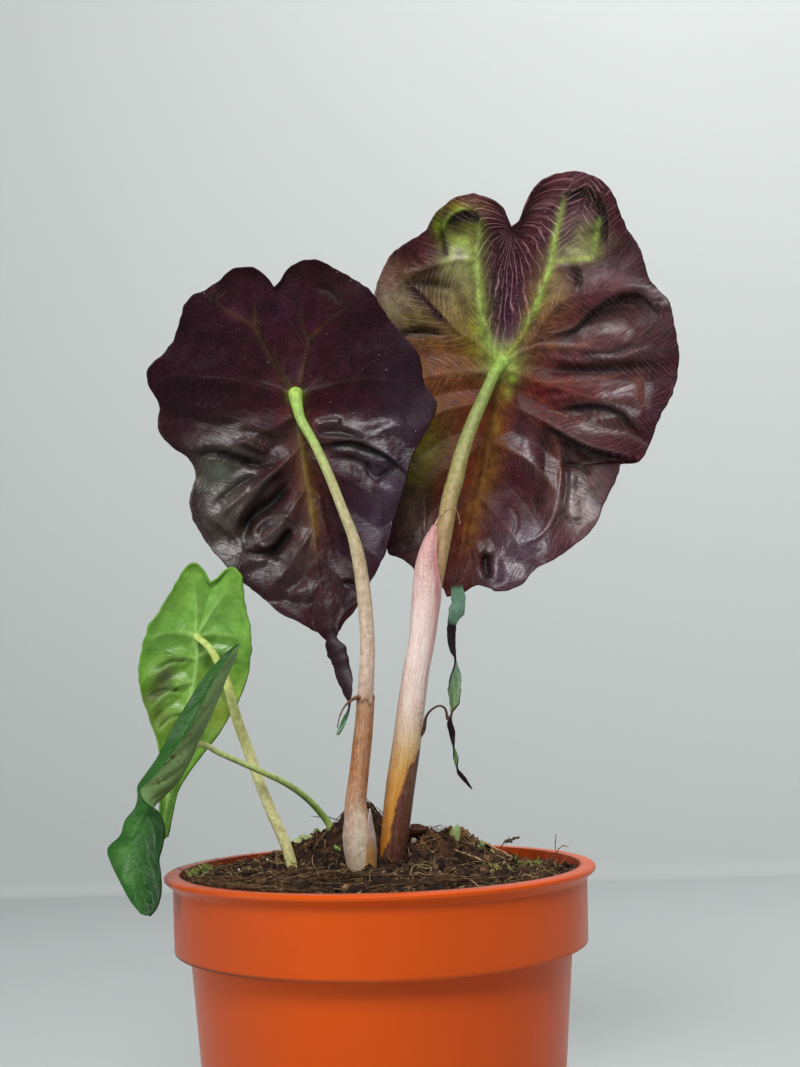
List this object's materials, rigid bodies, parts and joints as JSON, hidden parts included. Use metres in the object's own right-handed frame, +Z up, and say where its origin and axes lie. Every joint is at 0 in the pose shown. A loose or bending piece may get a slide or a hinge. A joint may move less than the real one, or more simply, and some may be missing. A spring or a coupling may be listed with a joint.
{
  "type": "potted alocasia plant",
  "caption": "Young alocasia with dark shield-shaped leaves on slim stems, small green leaves at its foot, standing in soil in a round orange nursery pot.",
  "frame": {"origin": "centre of the pot's flat base", "axes": "+Z up; the undersides of the large leaves face -Y, and the tallest leaf leans towards +X"},
  "size_m": [0.1296, 0.09, 0.2419],
  "materials": {
    "pot_plastic": "moulded orange polypropylene with a soft sheen",
    "soil": "moist peat with fibres, crumbs and a little moss",
    "corm": "rough brown skin",
    "stem_left": "satin, lime at the top to beige and brown",
    "stem_right": "satin olive green to tan",
    "sheath": "papery pink with fine red marks, amber below",
    "leaf_left": "glossy dark maroon underside",
    "leaf_right": "glossy maroon and rust underside with lime ribs",
    "leaf_light": "satin bright green",
    "leaf_green": "glossy dark green with a grey green underside",
    "stem_green": "satin pale green",
    "shoot": "satin pale green",
    "bark": "split brown bark"
  },
  "bodies": {
    "root": {"pot": "pot_plastic", "soil": "soil", "rhizome": "corm", "petiole_left": "stem_left", "blade_left": "leaf_left", "petiole_right": "stem_right", "sheath_right": "sheath", "blade_right": "leaf_right", "petiole_small_light": "stem_green", "blade_small_light": "leaf_light", "petiole_small_dark": "stem_green", "blade_small_dark": "leaf_green", "shoot_stub": "shoot", "bark_chip": "bark"}
  },
  "joints": []
}
